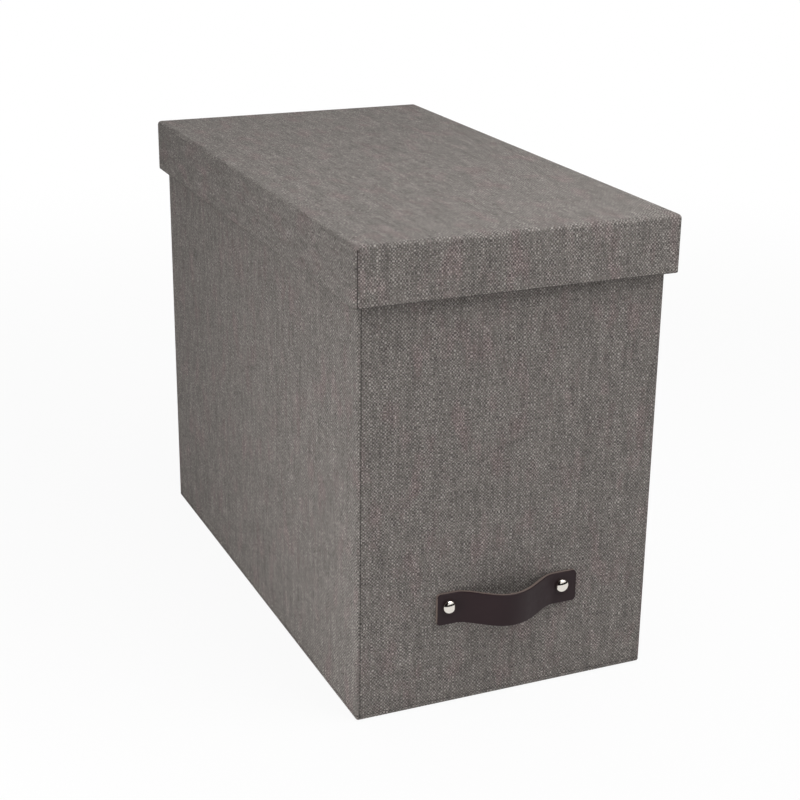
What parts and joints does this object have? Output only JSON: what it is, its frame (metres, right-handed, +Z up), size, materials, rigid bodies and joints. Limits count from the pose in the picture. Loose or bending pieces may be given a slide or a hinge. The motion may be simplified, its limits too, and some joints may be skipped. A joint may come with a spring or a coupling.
{
  "type": "document box",
  "caption": "Tall lidded storage box of canvas-wrapped board for files, with a leather pull strap riveted to its front end and a lift-off lid.",
  "frame": {"origin": "middle of the flat base, on the surface that the box stands on", "axes": "+Z up; the front end with the pull strap faces -Y; +X is to the right as seen from the front; the length runs along Y"},
  "size_m": [0.18, 0.3449, 0.258],
  "materials": {
    "canvas_board": "woven canvas glued over board, matte, warm grey",
    "strap_leather": "smooth dark brown leather with raw cut edges",
    "rivet_nickel": "polished nickel plate"
  },
  "bodies": {
    "box": {"box_body": "canvas_board", "pull_strap": "strap_leather", "rivet_left": "rivet_nickel", "rivet_right": "rivet_nickel", "rivet_cap_left": "rivet_nickel", "rivet_cap_right": "rivet_nickel"},
    "lid": {"lid": "canvas_board"}
  },
  "joints": [
    {"name": "lid_lift", "type": "slide", "parent": "box", "child": "lid", "axis": [0, 0, 1], "range_m": [0, 0.1]}
  ]
}
